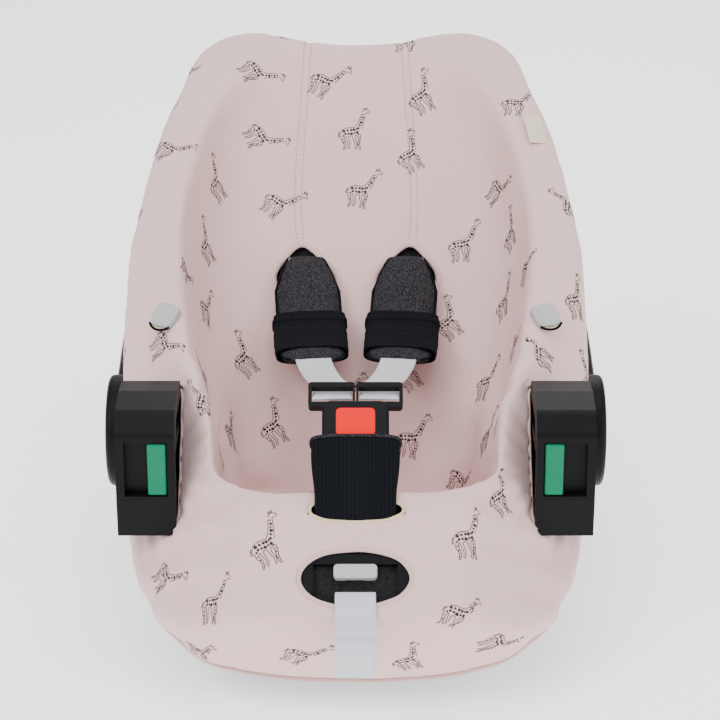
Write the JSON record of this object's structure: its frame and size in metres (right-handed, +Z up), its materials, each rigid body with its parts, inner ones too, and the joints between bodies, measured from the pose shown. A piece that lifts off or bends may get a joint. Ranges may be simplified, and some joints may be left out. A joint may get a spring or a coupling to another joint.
{
  "type": "infant car seat",
  "caption": "Rear-facing infant car seat with a fitted print cover, harness and crotch buckle, strap adjuster, belt guides and a folding carrying handle.",
  "frame": {"origin": "middle of the flat underside of the base tray, under the seat", "axes": "+Z up, +Y towards the head end, so -Y is the foot end with the strap adjuster; +X is the right side seen from the foot end"},
  "size_m": [0.446, 0.8003, 0.4153],
  "materials": {
    "cover_jersey": "soft ribbed jersey, dusty pink with a small print",
    "shell_plastic": "fine textured moulding",
    "liner_foam": "expanded bead foam",
    "soft_rubber": "matt",
    "steel": "plain",
    "black_plastic": "satin black moulding",
    "green_plastic": "satin",
    "grey_plastic": "satin",
    "label_cloth": "woven tape, blank",
    "webbing": "woven polyester",
    "pad_melange": "flecked dark grey jersey",
    "black_knit": "black knitted tube",
    "red_plastic": "satin"
  },
  "bodies": {
    "seat": {"fabric_cover": "cover_jersey", "outer_shell": "shell_plastic", "base_tray": "shell_plastic", "foam_liner": "liner_foam", "anti_slip_pads": "soft_rubber", "docking_bar_front": "steel", "docking_bar_rear": "steel", "base_screws": "steel", "guide_screws_left": "steel", "guide_screws_right": "steel", "pivot_screws_left": "steel", "pivot_screws_right": "steel", "pivot_bolt_left": "steel", "pivot_bolt_right": "steel", "buckle_spring": "steel", "adjuster_springs": "steel", "adjuster_pin": "steel", "crotch_anchor": "steel", "harness_yoke": "steel", "belt_guide_left": "black_plastic", "belt_guide_right": "black_plastic", "pivot_base_left": "black_plastic", "pivot_base_right": "black_plastic", "buckle_housing": "black_plastic", "buckle_tongue_left": "black_plastic", "buckle_tongue_right": "black_plastic", "adjuster_housing": "black_plastic", "belt_marker_left": "green_plastic", "belt_marker_right": "green_plastic", "canopy_peg_left": "grey_plastic", "canopy_peg_right": "grey_plastic", "cover_label": "label_cloth", "shoulder_strap_left": "webbing", "shoulder_strap_right": "webbing", "adjuster_strap": "webbing", "crotch_strap": "webbing", "shoulder_pad_left": "pad_melange", "shoulder_pad_right": "pad_melange", "pad_band_left": "black_knit", "pad_band_right": "black_knit", "crotch_pad": "black_knit"},
    "handle": {"handle_upper": "black_plastic", "handle_lower": "black_plastic", "handle_screws": "steel", "grip_pad": "soft_rubber", "hub_housing_left": "black_plastic", "hub_housing_right": "black_plastic", "button_spring_left": "steel", "button_spring_right": "steel"},
    "lock_left": {"lock_gear_left": "black_plastic", "handle_button_left": "black_plastic"},
    "lock_right": {"lock_gear_right": "black_plastic", "handle_button_right": "black_plastic"},
    "buckle_release": {"buckle_button": "red_plastic"},
    "adjuster_release": {"adjuster_key": "grey_plastic"},
    "strap_cam": {"adjuster_cam": "steel"}
  },
  "joints": [
    {"name": "handle_fold", "type": "hinge", "parent": "seat", "child": "handle", "pos_m": [0, -0.012, 0.128], "axis": [1, 0, 0], "range_deg": [-24, 78]},
    {"name": "lock_left_press", "type": "slide", "parent": "handle", "child": "lock_left", "axis": [1, 0, 0], "range_m": [0, 0.004], "stiffness_N_per_m": 900, "springref_m": -0.004, "deforming": ["button_spring_left"]},
    {"name": "lock_right_press", "type": "slide", "parent": "handle", "child": "lock_right", "axis": [-1, 0, 0], "range_m": [0, 0.004], "stiffness_N_per_m": 900, "springref_m": -0.004, "deforming": ["button_spring_right"]},
    {"name": "buckle_press", "type": "slide", "parent": "seat", "child": "buckle_release", "axis": [0, 0.6428, -0.766], "range_m": [0, 0.0025], "stiffness_N_per_m": 2500, "springref_m": -0.004, "deforming": ["buckle_spring"]},
    {"name": "adjuster_press", "type": "slide", "parent": "seat", "child": "adjuster_release", "axis": [0, 0.6943, -0.7197], "range_m": [0, 0.003], "stiffness_N_per_m": 1500, "springref_m": -0.004, "deforming": ["adjuster_springs"]},
    {"name": "cam_turn", "type": "hinge", "parent": "seat", "child": "strap_cam", "pos_m": [0, -0.31748, 0.12415], "axis": [1, 0, 0], "range_deg": [-13.5, 0]}
  ],
  "couplings": [
    {"joint": "cam_turn", "follows": "adjuster_press", "rad_per_m": -75.6}
  ]
}
